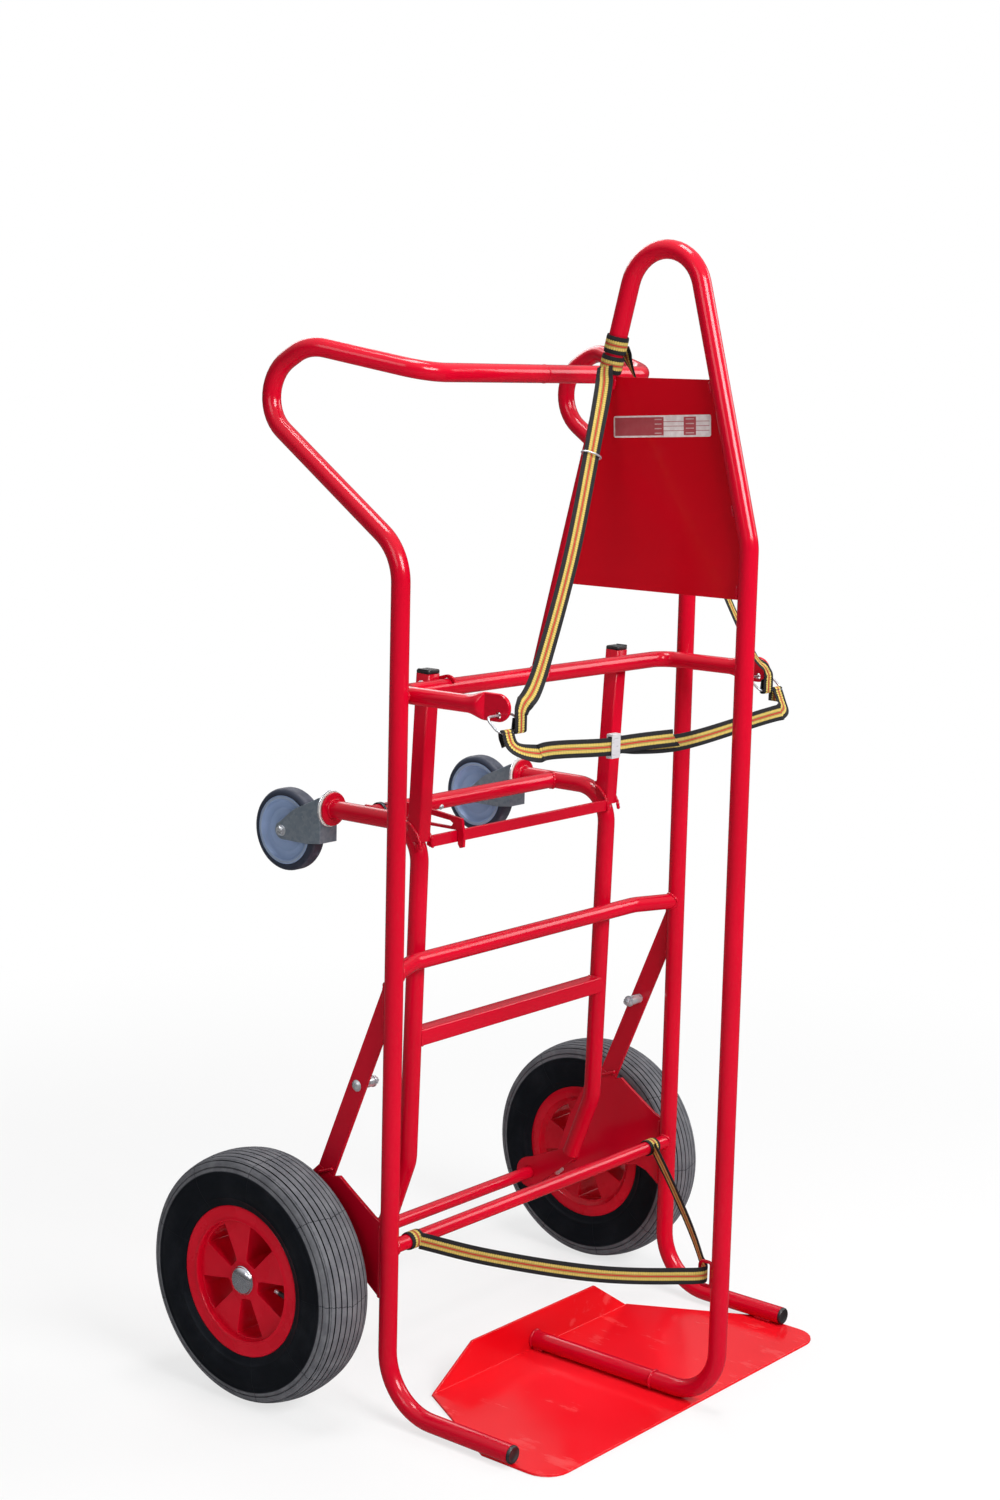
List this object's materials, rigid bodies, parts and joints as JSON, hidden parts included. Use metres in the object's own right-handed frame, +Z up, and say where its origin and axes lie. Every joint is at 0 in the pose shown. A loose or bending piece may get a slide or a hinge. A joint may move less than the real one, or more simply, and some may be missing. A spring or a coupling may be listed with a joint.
{
  "type": "gas cylinder trolley",
  "caption": "Hand trolley that carries gas cylinders side by side, with a lifting bow, restraint straps and a folding castor frame.",
  "frame": {"origin": "on the floor under the fold of the toe plate, midway between the two upright side tubes and in their plane", "axes": "+Z up, -Y towards the toe plate, +Y towards the handle and wheels, +X to the right of someone who looks along +Y"},
  "size_m": [0.9046, 0.7329, 1.678],
  "materials": {
    "frame_paint": "glossy bright red powder coat",
    "red_plastic": "moulded red plastic rim",
    "black_plastic": "black plastic plugs",
    "zinc": "bright zinc-plated steel",
    "hub_chrome": "chromed cap",
    "tyre": "ribbed pneumatic tyre, grey tread, darker wall",
    "castor_plastic": "grey-blue moulded wheel",
    "castor_rubber": "dark grey tread",
    "webbing": "black webbing with yellow stripes and a thin red line"
  },
  "bodies": {
    "trolley_frame": {"side_tube_left": "frame_paint", "side_tube_right": "frame_paint", "foot_plug_left": "black_plastic", "foot_plug_right": "black_plastic", "toe_plate": "frame_paint", "centre_foot": "frame_paint", "lifting_bow": "frame_paint", "separator_panel": "frame_paint", "restraint_hoop": "frame_paint", "strap_guide": "frame_paint", "dished_cross_tube": "frame_paint", "lower_cross_tube": "frame_paint", "axle": "frame_paint", "axle_bracket_left": "frame_paint", "axle_bracket_right": "frame_paint", "brace_left": "frame_paint", "brace_right": "frame_paint", "brace_bolt_left": "zinc", "brace_bolt_right": "zinc", "hub_cap_left": "hub_chrome", "hub_cap_right": "hub_chrome", "waist_strap_left": "webbing", "waist_strap_right": "webbing", "buckle": "zinc", "shoulder_strap_left": "webbing", "shoulder_strap_right": "webbing", "lower_strap": "webbing"},
    "leg_frame": {"leg_tube_left": "frame_paint", "leg_tube_right": "frame_paint", "leg_cross_tube": "frame_paint", "leg_square_member": "frame_paint", "leg_flat_bar": "frame_paint", "post_left": "frame_paint", "post_right": "frame_paint", "post_cap_left": "black_plastic", "post_cap_right": "black_plastic", "leg_lug_left": "frame_paint", "leg_lug_right": "frame_paint", "leg_flange_left": "frame_paint", "leg_flange_right": "frame_paint", "hook_pin": "zinc"},
    "stow_hook_body": {"stow_hook": "frame_paint"},
    "latch_lever_body": {"latch_lever": "frame_paint"},
    "wheel_left": {"tyre_left": "tyre", "rim_left": "red_plastic"},
    "castor_yoke_left": {"castor_head_left": "zinc", "castor_fork_left": "zinc", "castor_bolt_left": "zinc"},
    "castor_wheel_left": {"castor_hub_left": "castor_plastic", "castor_tread_left": "castor_rubber"},
    "ring_left": {"strap_ring_left": "zinc"},
    "wheel_right": {"tyre_right": "tyre", "rim_right": "red_plastic"},
    "castor_yoke_right": {"castor_head_right": "zinc", "castor_fork_right": "zinc", "castor_bolt_right": "zinc"},
    "castor_wheel_right": {"castor_hub_right": "castor_plastic", "castor_tread_right": "castor_rubber"},
    "ring_right": {"strap_ring_right": "zinc"}
  },
  "joints": [
    {"name": "leg_frame_fold", "type": "hinge", "parent": "trolley_frame", "child": "leg_frame", "pos_m": [0, 0.193, 0.185], "axis": [-1, 0, 0], "range_deg": [0, 42]},
    {"name": "wheel_spin_left", "type": "hinge", "parent": "trolley_frame", "child": "wheel_left", "pos_m": [-0.4049, 0.193, 0.185], "axis": [1, 0, 0], "continuous": true},
    {"name": "castor_swivel_left", "type": "hinge", "parent": "leg_frame", "child": "castor_yoke_left", "pos_m": [-0.2225, 0.232, 0.845], "axis": [0, 1, 0], "continuous": true},
    {"name": "castor_spin_left", "type": "hinge", "parent": "castor_yoke_left", "child": "castor_wheel_left", "pos_m": [-0.2225, 0.318, 0.803], "axis": [1, 0, 0], "continuous": true},
    {"name": "ring_swing_left", "type": "hinge", "parent": "trolley_frame", "child": "ring_left", "pos_m": [-0.31225, -0.158, 1.037], "axis": [1, 0, 0], "range_deg": [-20, 20], "deforming": ["waist_strap_left", "shoulder_strap_left"]},
    {"name": "wheel_spin_right", "type": "hinge", "parent": "trolley_frame", "child": "wheel_right", "pos_m": [0.4049, 0.193, 0.185], "axis": [1, 0, 0], "continuous": true},
    {"name": "castor_swivel_right", "type": "hinge", "parent": "leg_frame", "child": "castor_yoke_right", "pos_m": [0.2225, 0.232, 0.845], "axis": [0, 1, 0], "continuous": true},
    {"name": "castor_spin_right", "type": "hinge", "parent": "castor_yoke_right", "child": "castor_wheel_right", "pos_m": [0.2225, 0.318, 0.803], "axis": [1, 0, 0], "continuous": true},
    {"name": "ring_swing_right", "type": "hinge", "parent": "trolley_frame", "child": "ring_right", "pos_m": [0.31225, -0.158, 1.037], "axis": [1, 0, 0], "range_deg": [-20, 20], "deforming": ["waist_strap_right", "shoulder_strap_right"]},
    {"name": "stow_hook_lift", "type": "hinge", "parent": "leg_frame", "child": "stow_hook_body", "pos_m": [-0.2077, 0.04965, 1.05], "axis": [-1, 0, 0], "range_deg": [0, 40]},
    {"name": "latch_lever_lift", "type": "hinge", "parent": "leg_frame", "child": "latch_lever_body", "pos_m": [-0.15, 0.166, 0.845], "axis": [-1, 0, 0], "range_deg": [0, 25]}
  ]
}
